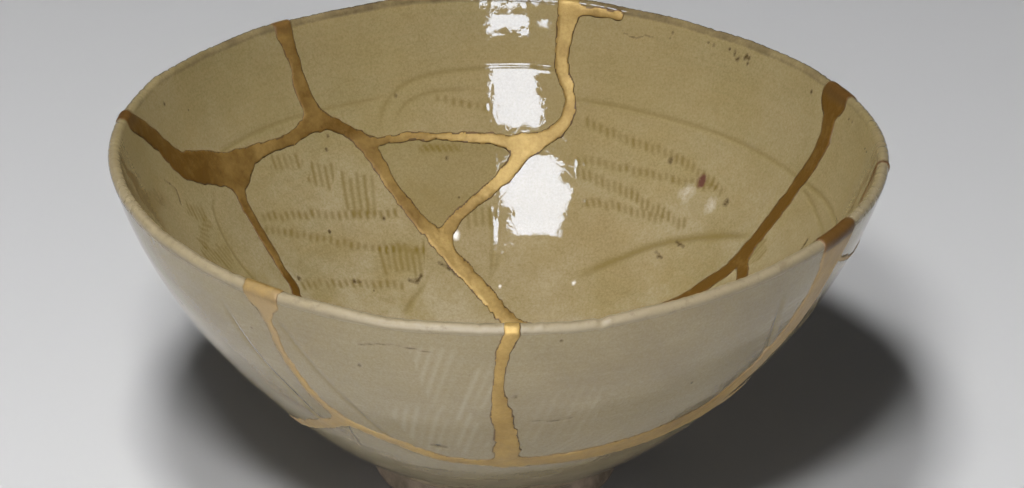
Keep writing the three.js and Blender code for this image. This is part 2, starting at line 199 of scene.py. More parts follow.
# Blemishes of each face, and patches of painted shade: azimuth, depth, radius, kind
BLEMISHES = {
    "inside": [
        (45.1, 27.1, 1.6, "scar"), (36.8, 28.7, 1.2, "pit"), (53.7, 25.7, 1.0, "pit"),
        (42.2, 38.6, 0.6, "pit"), (45.6, 41.7, 0.6, "pit"), (150.6, 42.6, 0.8, "pit"),
        (133.7, 38.3, 0.6, "pit"), (126.2, 24.7, 0.6, "pit"), (118.5, 38.8, 0.6, "pit"),
        (134.5, 47, 0.7, "pit"), (104.4, 48.3, 0.8, "pit"), (115.5, 49.6, 0.8, "pit"),
        # The chips carry small painted white highlights
        (65.9, 49.7, 0.5, "chip"), (101.2, 43.2, 1.1, "chip"), (40, 30.4, 2.6, "haze"),
        (47, 30, 3.2, "haze"), (101, 30, 0.6, "pit"), (89.1, 51.6, 0.4, "chip"),
        (6.4, 24.5, 0.7, "pit"), (29.6, 2.1, 0.6, "pit"), (109.6, 17.4, 0.6, "pit"),
        (162.8, 10.7, 0.7, "pit"), (125, 22.3, 0.5, "pit"), (159, 3, 0.6, "pit"),
        # Patches of painted shade on the inner wall at the left, just below the rim
        (181, 9, 6.0, "painted_shade"), (176, 15, 4.0, "painted_shade"), (188, 4, 4.0, "painted_shade"),
    ],
    "outside": [
        (-110.6, 12.1, 0.6, "pit"), (-87, 17.9, 0.7, "pit"), (-100.8, 36.3, 1.0, "pit"),
        (-80.9, 2.5, 0.5, "pit"), (-93.8, 11.3, 0.4, "pit"), (-56.1, 23.4, 0.5, "pit"),
        (40, 22, 0.6, "pit"), (130, 30, 0.7, "pit"), (210, 18, 0.5, "pit"),
    ],
}

# How deep each kind is cut as a share of its radius, and how far some kinds shift the tone of the glaze: the
# chips to a painted white highlight, the patches at the left to painted shade
BLEMISH_DEPTH = {"pit": 0.25, "scar": 0.2, "chip": 0.12, "haze": 0.03, "painted_shade": 0.0}
BLEMISH_TONE = {"chip": -1.0, "haze": -0.26, "painted_shade": 0.42}

# Dark scars in the glaze of each face: points of azimuth and depth, width
SCARS = {
    "inside": [
        ([(69, 3.2), (66.6, 4.2), (65, 3.2), (63.5, 3.3)], 0.3),
        ([(107, 47.4), (105, 48.2), (103, 49.4)], 0.6),
        ([(117.6, 49.3), (115.5, 49.9), (113.4, 48.9)], 0.6),
        ([(134.9, 47), (133, 47.3)], 0.6),
        ([(47, 41.2), (44.5, 41.7)], 0.5),
        ([(43.5, 38.3), (40.5, 38.6)], 0.5),
        ([(170, 14), (168, 17), (169.5, 19.5)], 0.35),
        ([(6.6, 23.6), (6, 25.6)], 0.6),
    ],
    "outside": [
        ([(-101.8, 36.2), (-99.4, 36.5)], 0.8),
        ([(-118.1, 34), (-119, 38), (-119.7, 43.3)], 0.25),
        ([(-110, 6), (-105, 4.6), (-99, 5.6)], 0.3),
        ([(-84, 26), (-80, 26.6), (-77, 26)], 0.25),
    ],
}

# Pits in a band along the lip at the right
LIP_PITS = 26


# Profile of the wall
def outer_curve(u):
    """Radius and height of the outer face, and the unit directions up along it and out of it."""
    p0 = np.array([FOOT_JOINT_RADIUS, FOOT_HEIGHT])
    p1 = p0 + FOOT_FULLNESS * np.array([math.cos(FOOT_SLOPE), math.sin(FOOT_SLOPE)])
    p3 = np.array([RIM_RADIUS, BOWL_HEIGHT])
    p2 = p3 - RIM_FULLNESS * np.array([math.cos(RIM_SLOPE), math.sin(RIM_SLOPE)])
    t = np.atleast_1d(u)[:, None]
    point = (1 - t) ** 3 * p0 + 3 * (1 - t) ** 2 * t * p1 + 3 * (1 - t) * t * t * p2 + t ** 3 * p3
    along = 3 * (1 - t) ** 2 * (p1 - p0) + 6 * (1 - t) * t * (p2 - p1) + 3 * t * t * (p3 - p2)
    along = along / np.linalg.norm(along, axis=1)[:, None]
    return point, along, np.stack([along[:, 1], -along[:, 0]], 1)


def thickness_at(u):
    return BASE_THICKNESS + (LIP_THICKNESS - BASE_THICKNESS) * u


FLOOR_LEVEL = FOOT_RECESS_DEPTH + FLOOR_THICKNESS


def ease_to_floor(height):
    above = height - FLOOR_LEVEL
    return FLOOR_LEVEL + 0.5 * (above + np.hypot(above, FLOOR_BLEND))


def offset_curve(u, inwards):
    point, _, out = outer_curve(u)
    return point - out * np.atleast_1d(inwards)[:, None]


# Tables that turn depth into u, and u into arc length along the wall
TABLE_U = np.linspace(0, 1, 801)
OUTER_TABLE = offset_curve(TABLE_U, 0.0)
INNER_TABLE = offset_curve(TABLE_U, thickness_at(TABLE_U))
ARC_TABLE = np.concatenate([[0], np.cumsum(np.linalg.norm(np.diff(OUTER_TABLE, axis=0), axis=1))])
ARC_LENGTH = ARC_TABLE[-1]


def u_at_depth(depth, face):
    heights = INNER_TABLE[:, 1] if face == "inside" else OUTER_TABLE[:, 1]
    return np.interp(BOWL_HEIGHT - np.asarray(depth, float), heights, TABLE_U)


def arc_at(u):
    return np.interp(u, TABLE_U, ARC_TABLE)


def u_at_arc(arc):
    return np.interp(arc, ARC_TABLE, TABLE_U)


def warp_point(radius, height, azimuth):
    """The kiln warp of the round bowl, as a point in millimetres."""
    share = np.clip((height - FOOT_HEIGHT) / (BOWL_HEIGHT - FOOT_HEIGHT), 0, None)

    def wave(shape):
        rise, crest, waves = shape
        return rise * np.cos(waves * (azimuth - crest))

    radius = radius + share * wave(RIM_OVAL)
    height = height + share * (wave(RIM_SAG) + wave(RIM_RIPPLE))
    return np.stack([radius * np.cos(azimuth), radius * np.sin(azimuth), height], -1)


# Noise in the plane of the unrolled wall, as a few random waves of one size
def wave_noise(x, y, size, count, seed):
    """Smooth noise of about unit spread; x is a distance round the bowl and y a distance up the wall."""
    draw = np.random.default_rng(seed)
    total = np.zeros(np.broadcast(x, y).shape)
    for _ in range(count):
        angle = draw.uniform(0, 2 * math.pi)
        length = size * draw.uniform(0.6, 1.6)
        phase = draw.uniform(0, 2 * math.pi)
        total = total + np.sin((x * math.cos(angle) + y * math.sin(angle)) * 2 * math.pi / length + phase)
    return total * math.sqrt(2 / count)


def wave_layers(x, y, layers):
    """Adds up layers of noise, each given by its height, its size, its number of waves and its seed."""
    return sum(height * wave_noise(x, y, size, count, seed) for height, size, count, seed in layers)


# Radius of the middle of the wall, to measure distances round the bowl
COARSE_U = np.linspace(0, 1, 101)
COARSE_RADIUS = offset_curve(COARSE_U, thickness_at(COARSE_U) / 2)[:, 0]
MID_RADIUS = np.interp(TABLE_U, COARSE_U, COARSE_RADIUS)


def radius_at_arc(arc):
    return np.interp(arc, ARC_TABLE, MID_RADIUS)


def turn_difference(a, b):
    """Signed difference of two azimuths in radians."""
    return (a - b + math.pi) % (2 * math.pi) - math.pi


def spreads_from(azimuth, middle, spread):
    """How many spreads an azimuth lies from a middle; middle and spread are in degrees."""
    return turn_difference(azimuth, math.radians(middle)) / math.radians(spread)


def dense_path(points, face, step):
    """Azimuth, arc and further columns along a path, on a smooth curve through its points."""
    data = np.array(points, float)
    azimuth = np.radians(data[:, 0])
    arc = arc_at(u_at_depth(data[:, 1], face))
    columns = np.column_stack([azimuth, arc, data[:, 2:]])
    out = [columns[0]]
    for i in range(len(columns) - 1):
        before = columns[max(0, i - 1)]
        a, b = columns[i], columns[i + 1]
        after = columns[min(len(columns) - 1, i + 2)]
        radius = float(radius_at_arc((a[1] + b[1]) / 2))
        length = math.hypot((b[0] - a[0]) * radius, b[1] - a[1])
        count = max(1, int(round(length / step)))
        for k in range(1, count + 1):
            t = k / count
            slope_a, slope_b = (b - before) / 2, (after - a) / 2
            point = ((2 * t ** 3 - 3 * t ** 2 + 1) * a + (t ** 3 - 2 * t ** 2 + t) * slope_a
                     + (-2 * t ** 3 + 3 * t ** 2) * b + (t ** 3 - t ** 2) * slope_b)
            out.append(point)
    return np.array(out)


# One stretch of a path and the block of the grid near it, with the distances along, across and beyond it,
# its length, the path's length before it, and its two ends
Stretch = namedtuple("Stretch", "block along across beyond length before ends")
SMALLEST_RADIUS = 8


def stretches(path, azimuth, arc, reach):
    """The stretches of a path that come within reach of the grid of azimuths and arcs."""
    before = 0.0
    for a, b in zip(path[:-1], path[1:]):
        radius = float(radius_at_arc((a[1] + b[1]) / 2))
        dx, dy = (b[0] - a[0]) * radius, b[1] - a[1]
        length = math.hypot(dx, dy) + 1e-9
        rows = np.nonzero((arc >= min(a[1], b[1]) - reach) & (arc <= max(a[1], b[1]) + reach))[0]
        half = abs(b[0] - a[0]) / 2 + reach / max(radius, SMALLEST_RADIUS)
        columns = np.nonzero(np.abs(turn_difference(azimuth, (a[0] + b[0]) / 2)) <= half)[0]
        if len(rows) and len(columns):
            x = turn_difference(azimuth[columns], a[0])[None, :] * radius
            y = (arc[rows] - a[1])[:, None]
            along = (x * dx + y * dy) / length
            across = (x * dy - y * dx) / length
            beyond = np.maximum(np.maximum(-along, along - length), 0)
            yield Stretch(np.ix_(rows, columns), along, across, beyond, length, before, (a, b))
        before += length


# Distance field of the lacquer on the unrolled wall: negative inside a seam
SEAM_STEP = 3.0
SEAM_REACH = 7.0
SEAM_BLEND = 0.9
FAR = 30.0


def seam_field(azimuth, arc):
    """azimuth is a row vector and arc a column of the grid, in radians and millimetres."""
    total = np.zeros((len(arc), len(azimuth)))
    for face, opens, points in SEAMS:
        path = dense_path(points, face, SEAM_STEP)
        if opens:
            first = path[0].copy()
            first[1] = ARC_LENGTH + RIM_OVERRUN
            path = np.vstack([first, path])
        best = np.full(total.shape, FAR)
        for near in stretches(path, azimuth, arc, SEAM_REACH + path[:, 2].max() / 2):
            start_width, end_width = near.ends[0][2], near.ends[1][2]
            width = start_width + (end_width - start_width) * np.clip(near.along / near.length, 0, 1)
            distance = np.hypot(near.across, near.beyond) - width / 2
            best[near.block] = np.minimum(best[near.block], distance)
        total += np.exp(-best / SEAM_BLEND * 2)
    return -np.log(np.maximum(total, 1e-12)) * SEAM_BLEND / 2


# Relief of one face: how deep it is cut, and how much glaze has pooled there
LINE_STEP = 3.0
LINE_REACH = 5.0
LINE_RELIEF = 0.6
LINE_FADE = 6.0
LINE_POOL = 0.25
COMB_RELIEF = 0.17
COMB_POOL = 0.6
COMB_PALE = 1.7
COMB_LIMIT = 400


def turned(table, face):
    """The entries of a face, with those of the outside turned to their other places round the bowl."""
    copies = OUTSIDE_COPIES if face == "outside" else 1
    return [([(az + 360 * k / copies, depth) for az, depth in points], *rest)
            for k in range(copies) for points, *rest in table[face]]


def carve(cut, pool, face, azimuth, arc):
    """Carved lines: a groove with a low lip at one side, fading towards both ends."""
    for points, width, depth in turned(CARVED_LINES, face):
        path = dense_path(points, face, LINE_STEP)
        radii = radius_at_arc((path[1:, 1] + path[:-1, 1]) / 2)
        whole = np.hypot(np.diff(path[:, 0]) * radii, np.diff(path[:, 1])).sum()
        for near in stretches(path, azimuth, arc, LINE_REACH):
            groove = np.exp(-(np.hypot(near.across, near.beyond * 2) / (width * 0.55)) ** 2)
            lip = 0.35 * np.exp(-((near.across + width * 1.1) / (width * 0.6)) ** 2) * (near.beyond <= 0)
            gone = near.before + near.along
            ends = np.clip(gone / LINE_FADE, 0, 1) * np.clip((whole - gone) / LINE_FADE, 0.2, 1)
            deep = ends * depth * LINE_RELIEF
            deeper = np.abs(groove * deep) > np.abs(cut[near.block])
            cut[near.block] = np.where(deeper, (groove - lip) * deep, cut[near.block])
            pool[near.block] = np.maximum(pool[near.block], groove * ends * (LINE_POOL + depth))


def comb(cut, pool, face, azimuth, arc):
    """Rows of combed strokes, each stroke a little stronger or weaker and higher or lower than the next."""
    for number, (points, stroke, pitch, lean, depth) in enumerate(turned(COMB_ROWS, face)):
        raised = depth < 0
        path = dense_path(points, face, 40.0 if len(points) == 2 else 6.0)
        draw = np.random.default_rng(100 + number)
        strength = draw.uniform(0.1 if raised else 0.55, 1.0, COMB_LIMIT)
        shift = draw.uniform(-0.18, 0.18, COMB_LIMIT) * stroke
        width, softness = (0.55, 3.0) if raised else (0.5, 0.8)
        slope = math.tan(math.radians(lean))
        for near in stretches(path, azimuth, arc, stroke / 2 + 1.5):
            along = near.before + near.along + near.across * slope
            index = np.clip(np.floor(along / pitch).astype(int), 0, COMB_LIMIT - 1)
            phase = (along / pitch) % 1 - 0.5
            fade = np.clip((stroke / 2 - np.abs(near.across - shift[index])) / softness + 0.4, 0, 1)
            inside = (near.along >= -0.01) & (near.along < near.length)
            mark = np.exp(-(phase * pitch / width) ** 2) * fade * strength[index] * inside
            cut[near.block] += mark * depth * COMB_RELIEF
            pool[near.block] += mark * (COMB_PALE * depth if raised else COMB_POOL + depth)


def relief(face, azimuth, arc):
    cut = np.zeros((len(arc), len(azimuth)))
    pool = np.zeros_like(cut)
    carve(cut, pool, face, azimuth, arc)
    comb(cut, pool, face, azimuth, arc)
    return cut, pool


SCAR_TONE = 0.8
SCAR_DEPTH = 0.12


def blemishes(face, azimuth, arc):
    cut = np.zeros((len(arc), len(azimuth)))
    tone = np.zeros_like(cut)
    rust = np.zeros_like(cut)
    draw = np.random.default_rng(77)
    lip_pits = [(draw.uniform(-8, 62), draw.uniform(0.8, 3.2), draw.uniform(0.35, 0.6), "pit")
                for _ in range(LIP_PITS)]
    for az, depth, radius, kind in BLEMISHES[face] + (lip_pits if face == "inside" else []):
        here = float(arc_at(u_at_depth(depth, face)))
        x = turn_difference(azimuth, math.radians(az))[None, :] * float(radius_at_arc(here))
        y = (arc - here)[:, None]
        bump = np.exp(-(np.hypot(x, y * 0.8) / radius) ** 2 * 1.4)
        cut += bump * BLEMISH_DEPTH[kind] * radius
        if kind == "pit":
            tone += bump * (1 - np.clip(tone, 0, 1))
        elif kind == "scar":
            rust = np.maximum(rust, bump)
        else:
            # Shifts the tone: dark for the patches of painted shade, a painted white highlight for the chips,
            # paler for the haze
            tone += BLEMISH_TONE[kind] * bump
    for points, width in SCARS[face]:
        for near in stretches(dense_path(points, face, 2.0), azimuth, arc, 3.0):
            mark = np.exp(-(np.hypot(near.across, near.beyond) / width) ** 2)
            tone[near.block] = np.maximum(tone[near.block], SCAR_TONE * mark)
            cut[near.block] = np.maximum(cut[near.block], SCAR_DEPTH * mark)
    return cut, tone, rust


# Grid of the wall, shared by the inner and outer faces of the sherds
azimuths = np.arange(ROUND_STEPS) * 2 * math.pi / ROUND_STEPS
wall_arcs = np.linspace(0, ARC_LENGTH, WALL_STEPS + 1)
wall_u = u_at_arc(wall_arcs)


def surface_points(face, u, azimuth, push):
    """Points of a face, moved into the wall by push."""
    thickness = thickness_at(u)
    base = offset_curve(u, thickness if face == "inside" else 0.0)
    out = outer_curve(u)[2]
    outwards = push if face == "inside" else -push
    radius = base[:, 0][:, None] + outwards * out[:, 0][:, None]
    height = base[:, 1][:, None] + outwards * out[:, 1][:, None]
    if face == "inside":
        height = ease_to_floor(height)
    return warp_point(radius, height, azimuth[None, :])


def thrown_ripple(azimuth, arc, seed):
    """Soft unevenness of a thrown and glazed wall, in millimetres."""
    round_way = azimuth[None, :] * RIM_RADIUS
    up = arc[:, None]
    turning = 0.012 * np.sin(up * 2 * math.pi / 6.3 + 0.8 * np.sin(azimuth)[None, :])
    return turning + 0.02 * wave_noise(round_way * 0.35, up, 12, 9, seed)


# Slow, fast and fine waves of the worn lip: size, number of waves and seed. A lump of glaze stands on the lip
# at one azimuth, with a spread, both in degrees
LIP_WAVES = [(26, 7, 5), (5, 9, 6), (1.6, 9, 7)]
LUMP = (157, math.degrees(0.07))
LUMP_HEIGHT = 0.55


def lip_wear(azimuth):
    """Small nicks along the lip, in millimetres."""
    round_way = azimuth * RIM_RADIUS
    slow, fast, fine = [wave_noise(round_way, 0.0, *waves) for waves in LIP_WAVES]
    nicks = np.clip(fast - 1.2, 0, None) * np.clip(slow + 0.4, 0, None)
    lump = np.exp(-spreads_from(azimuth, *LUMP) ** 2)
    return 0.15 * slow + 0.09 * nicks + 0.045 * fine - LUMP_HEIGHT * lump


# Labels: grow each sherd from its middle, stopped by the seams, then up to the middle of the seams
def label_cells():
    centres_az = azimuths + math.pi / ROUND_STEPS
    centres_arc = (wall_arcs[:-1] + wall_arcs[1:]) / 2
    barrier = seam_field(centres_az, centres_arc) < 0.25
    labels = np.zeros(barrier.shape, int)
    for number, (az, depth) in enumerate(SHERDS.values(), start=1):
        row = int(np.argmin(np.abs(centres_arc - float(arc_at(u_at_depth(depth, "inside"))))))
        column = int((math.radians(az) % (2 * math.pi)) / (2 * math.pi) * ROUND_STEPS)
        labels[row, column] = number
    for open_cells in (~barrier, np.ones_like(barrier)):
        while True:
            grown = labels.copy()
            for shifted in (np.roll(labels, 1, 1), np.roll(labels, -1, 1),
                            np.vstack([labels[1:], labels[-1:]]), np.vstack([labels[:1], labels[:-1]])):
                take = (grown == 0) & (shifted > 0) & open_cells
                grown[take] = shifted[take]
            if (grown == labels).all():
                break
            labels = grown
    return labels


def foot_profile():
    """The foot ring from the wall's lower edge to the middle of the recess."""
    ring_inner = FOOT_OUTER_RADIUS - FOOT_RING_WIDTH
    recess = FOOT_RECESS_DEPTH
    corners = [
        (FOOT_OUTER_RADIUS + 0.5, FOOT_HEIGHT - 0.5, 1), (FOOT_OUTER_RADIUS, FOOT_HEIGHT - 1.3, 3),
        (FOOT_OUTER_RADIUS, FOOT_CHAMFER, 1), (FOOT_OUTER_RADIUS - FOOT_CHAMFER, 0, 3),
        (ring_inner + FOOT_CHAMFER, 0, 1), (ring_inner, FOOT_CHAMFER, 3),
        (ring_inner - FOOT_INNER_TAPER, recess - 0.5, 1),
        (ring_inner - FOOT_INNER_TAPER - 0.8, recess, 6), (0.4, recess, 0),
    ]
    points = []
    for (r0, z0, steps), (r1, z1, _) in zip(corners[:-1], corners[1:]):
        for k in range(steps):
            points.append((r0 + (r1 - r0) * k / steps, z0 + (z1 - z0) * k / steps))
    points.append(corners[-1][:2])
    return np.array(points)


# Points and attributes of every ring of the grid, kept in one long list of vertices
ATTRIBUTES = ("pool", "spot", "rust", "lip", "stain", "clay")


def ring_block(points, **values):
    block = {"points": points}
    for name in ATTRIBUTES:
        block[name] = np.broadcast_to(values.get(name, 0.0), points.shape[:2])
    return block


FOOT_UNEVENNESS = 0.06
FOOT_WAVE_RADIUS = 24


def build_blocks():
    blocks, detail = {}, {}
    # The lip is worn bare at the front and sides, and at the back it only gets a thin line of painted shade
    bare = np.clip(0.62 - 0.5 * np.sin(azimuths), 0.12, 1)[None, :]
    for face, seed in (("outside", 21), ("inside", 31)):
        cut, pool = relief(face, azimuths, wall_arcs)
        dent, tone, rust = blemishes(face, azimuths, wall_arcs)
        from_lip = ARC_LENGTH - wall_arcs
        fade = np.clip(from_lip / 3.0, 0, 1)[:, None]
        push = cut + dent + fade * thrown_ripple(azimuths, wall_arcs, seed)
        reach = 0.8 + (0.3 if face == "inside" else 1.3) * np.clip(-np.cos(azimuths), 0, 1)[None, :]
        worn = bare * np.exp(-(from_lip[:, None] / reach) ** 2)
        # A thin line of painted shade along the back of the lip
        stained = (1 - bare) * np.exp(-(from_lip / 0.6) ** 2)[:, None]
        detail[face] = (np.abs(cut) > 0.012) | (np.abs(pool) > 0.05) | (np.abs(dent) > 0.02)
        clay = np.clip(0.98 - wall_arcs / 9.0, 0, 1)[:, None] if face == "outside" else 0.0
        points = surface_points(face, wall_u, azimuths, push)
        points[..., 2] -= lip_wear(azimuths)[None, :] * np.exp(-from_lip / 1.2)[:, None]
        looks = {"pool": pool, "spot": tone, "rust": rust, "lip": worn, "stain": stained, "clay": clay}
        blocks[face] = ring_block(points, **looks)
    (tip,), (along,), (out,) = outer_curve(1.0)
    centre = tip - out * LIP_THICKNESS / 2
    turns = (np.arange(1, LIP_STEPS) * math.pi / LIP_STEPS)[:, None]
    section = centre + LIP_THICKNESS / 2 * (out * np.cos(turns) + along * np.sin(turns))
    points = warp_point(section[:, 0][:, None], section[:, 1][:, None], azimuths[None, :])
    points[..., 2] -= lip_wear(azimuths)[None, :]
    # Bare clay at the front of the lip, painted shade at its back
    blocks["lip"] = ring_block(points, lip=bare, stain=1 - bare)
    start = offset_curve(np.zeros(1), thickness_at(np.zeros(1)))[0]
    shares = (1 - np.arange(1, FLOOR_STEPS + 1) / (FLOOR_STEPS + 0.2))[:, None]
    heights = ease_to_floor(start[1] - start[0] * (1 - shares) * math.tan(FOOT_SLOPE))
    blocks["floor"] = ring_block(warp_point(start[0] * shares, heights, azimuths[None, :]))
    foot = foot_profile()
    unevenness = FOOT_UNEVENNESS * wave_noise(azimuths * FOOT_WAVE_RADIUS, 0.0, 7, 6, 9)[None, :]
    radius = foot[:, 0][:, None] + unevenness * np.clip(foot[:, 1][:, None] / 2, 0, 1)
    clay = np.clip(1.1 - np.clip(FOOT_OUTER_RADIUS - 5 - foot[:, 0], 0, 3) / 3, 0, 1)[:, None]
    blocks["foot"] = ring_block(warp_point(radius, foot[:, 1][:, None], azimuths[None, :]), clay=clay)
    return blocks, detail


def add_object(name, data):
    obj = bpy.data.objects.new(name, data)
    bpy.context.scene.collection.objects.link(obj)
    return obj


def quads_between(lower, upper, column, after):
    """Four-sided faces between two rings, from the points in column to those after them."""
    return np.stack([lower + column, lower + after, upper + after, upper + column], 1)


def make_mesh(name, points, attributes, *face_groups):
    """A mesh object from points in millimetres and groups of faces, in which -1 stands for no corner."""
    used = np.zeros(len(points) + 1, bool)
    for faces in face_groups:
        used[faces.ravel()] = True
    used[-1] = False
    kept = np.nonzero(used)[0]
    remap = np.full(len(points) + 1, -1)
    remap[kept] = np.arange(len(kept))
    polygons = [[v for v in face if v >= 0] for faces in face_groups for face in remap[faces].tolist()]
    mesh = bpy.data.meshes.new(name)
    mesh.from_pydata((points[kept] * MM).tolist(), [], polygons)
    for key, values in attributes.items():
        layer = mesh.attributes.new(key, "FLOAT", "POINT")
        layer.data.foreach_set("value", values[kept].astype(np.float32))
    mesh.polygons.foreach_set("use_smooth", [True] * len(mesh.polygons))
    return add_object(name, mesh)


def wall_polygons(offset, labels, detail, flip):
    """Fine four-sided faces where there is detail or a seam, and merged ones of two by two elsewhere."""
    rows, count = WALL_STEPS, ROUND_STEPS
    seen = detail[:-1] | detail[1:]
    seen = seen | np.roll(seen, -1, 1)
    four = labels.reshape(rows // 2, 2, count // 2, 2)
    same = (four == four[:, :1, :, :1]).all((1, 3))
    coarse = same & ~seen.reshape(rows // 2, 2, count // 2, 2).any((1, 3))
    coarse[-2:] = False
    owner = four[:, 0, :, 0]
    fine = ~np.repeat(np.repeat(coarse, 2, 0), 2, 1)
    row, column = np.nonzero(fine)
    after = (column + 1) % count
    quads = quads_between(offset + row * count, offset + (row + 1) * count, column, after)

    # A merged block leaves out the middle point of a side whose neighbour is merged and of the same sherd
    down, up, left, right = [coarse & np.roll(coarse, shift, axis) & (np.roll(owner, shift, axis) == owner)
                             for shift, axis in ((1, 0), (-1, 0), (1, 1), (-1, 1))]
    never = np.zeros_like(coarse)
    corners = ((0, 0, never), (0, 1, down), (0, 2, never), (1, 2, right),
               (2, 2, never), (2, 1, up), (2, 0, never), (1, 0, left))
    at = np.nonzero(coarse)
    block_row, block_column = 2 * at[0], 2 * at[1]
    eight = np.stack([
        np.where(left_out[at], -1, offset + (block_row + i) * count + (block_column + j) % count)
        for i, j, left_out in corners
    ], 1)
    if flip:
        quads, eight = quads[:, ::-1], eight[:, ::-1]
    return quads, labels[row, column], eight, owner[at]


def sherd_faces(blocks, labels, detail):
    """All faces with the sherd that each belongs to. Vertices are numbered block by block, ring by ring."""
    offsets, total = {}, 0
    for name, block in blocks.items():
        offsets[name] = total
        total += block["points"].shape[0] * ROUND_STEPS
    column = np.arange(ROUND_STEPS)
    after = (column + 1) % ROUND_STEPS
    even = column[::2]
    odd, next_even = even + 1, (even + 2) % ROUND_STEPS

    def ring(name, row):
        rows = blocks[name]["points"].shape[0]
        return offsets[name] + (row % rows) * ROUND_STEPS

    quads, owners, eights, eight_owners = [], [], [], []
    for face in ("outside", "inside"):
        made = wall_polygons(offsets[face], labels, detail[face], face == "inside")
        for group, new in zip((quads, owners, eights, eight_owners), made):
            group.append(new)
    lip_rings = [ring("outside", -1)] + [ring("lip", k) for k in range(LIP_STEPS - 1)] + [ring("inside", -1)]
    for lower, upper in zip(lip_rings[:-1], lip_rings[1:]):
        quads.append(quads_between(lower, upper, column, after))
        owners.append(labels[-1])
    # Floor and foot, at half the steps round, all of the base sherd
    base = np.ones(len(even), int)
    none = np.full(len(even), -1)
    floor_rings = [ring("inside", 0)] + [ring("floor", k) for k in range(FLOOR_STEPS)]
    foot_rings = [ring("outside", 0)] + [ring("foot", k) for k in range(blocks["foot"]["points"].shape[0])]
    for rings, flip in ((floor_rings, True), (foot_rings, False)):
        wall, first = rings[0], rings[1]
        corners = [first + even, first + next_even, wall + next_even, wall + odd, wall + even]
        band = np.stack(corners + [none] * 3, 1)
        eights.append(band[:, ::-1] if flip else band)
        eight_owners.append(base)
        for upper, lower in zip(rings[1:-1], rings[2:]):
            quad = quads_between(lower, upper, even, next_even)
            quads.append(quad[:, ::-1] if flip else quad)
            owners.append(base)
        centre = rings[-1] + even
        fan = np.stack([np.full(len(even) - 2, centre[0]), centre[1:-1], centre[2:], none[2:]], 1)
        quads.append(fan if flip else fan[:, [0, 2, 1, 3]])
        owners.append(base[2:])
    walls, wall_owners = broken_edges(labels, ring, column, after)
    return (np.vstack(quads + walls), np.concatenate(owners + wall_owners),
            np.vstack(eights), np.concatenate(eight_owners))


def broken_edges(labels, ring, column, after):
    """Quads through the wall where two sherds meet, once for each of the two."""
    walls, owners = [], []
    for row in range(WALL_STEPS):
        left, right = labels[row], np.roll(labels[row], -1)
        split = np.nonzero(left != right)[0]
        edge = after[split]
        quad = np.stack([ring("outside", row) + edge, ring("inside", row) + edge,
                         ring("inside", row + 1) + edge, ring("outside", row + 1) + edge], 1)
        walls += [quad, quad[:, ::-1]]
        owners += [left[split], right[split]]
        if row + 1 < WALL_STEPS:
            split = np.nonzero(labels[row] != labels[row + 1])[0]
            quad = quads_between(ring("outside", row + 1), ring("inside", row + 1), split, after[split])
            walls += [quad[:, ::-1], quad]
            owners += [labels[row][split], labels[row + 1][split]]
    top = labels[-1]
    split = np.nonzero(top != np.roll(top, -1))[0]
    for column_index in split:
        edge = after[column_index]
        rim = [ring("outside", -1) + edge] + [ring("lip", k) + edge for k in range(LIP_STEPS - 1)]
        rim.append(ring("inside", -1) + edge)
        for a, b in zip(rim[1:-1], rim[2:]):
            walls.append(np.array([[rim[0], b, a, -1], [rim[0], a, b, -1]]))
            owners.append(np.array([top[column_index], np.roll(top, -1)[column_index]]))
    return walls, owners


# Materials
class Value:
    """An output of a node, which can be added, subtracted and multiplied as a number is."""

    def __init__(self, graph, socket):
        self.graph = graph
        self.socket = socket

    def sibling(self, output):
        """Another output of the same node."""
        return Value(self.graph, self.socket.node.outputs[output])

    def __add__(self, other):
        return self.graph.maths("ADD", self, other)

    def __sub__(self, other):
        return self.graph.maths("SUBTRACT", self, other)

    def __mul__(self, other):
        return self.graph.maths("MULTIPLY", self, other)


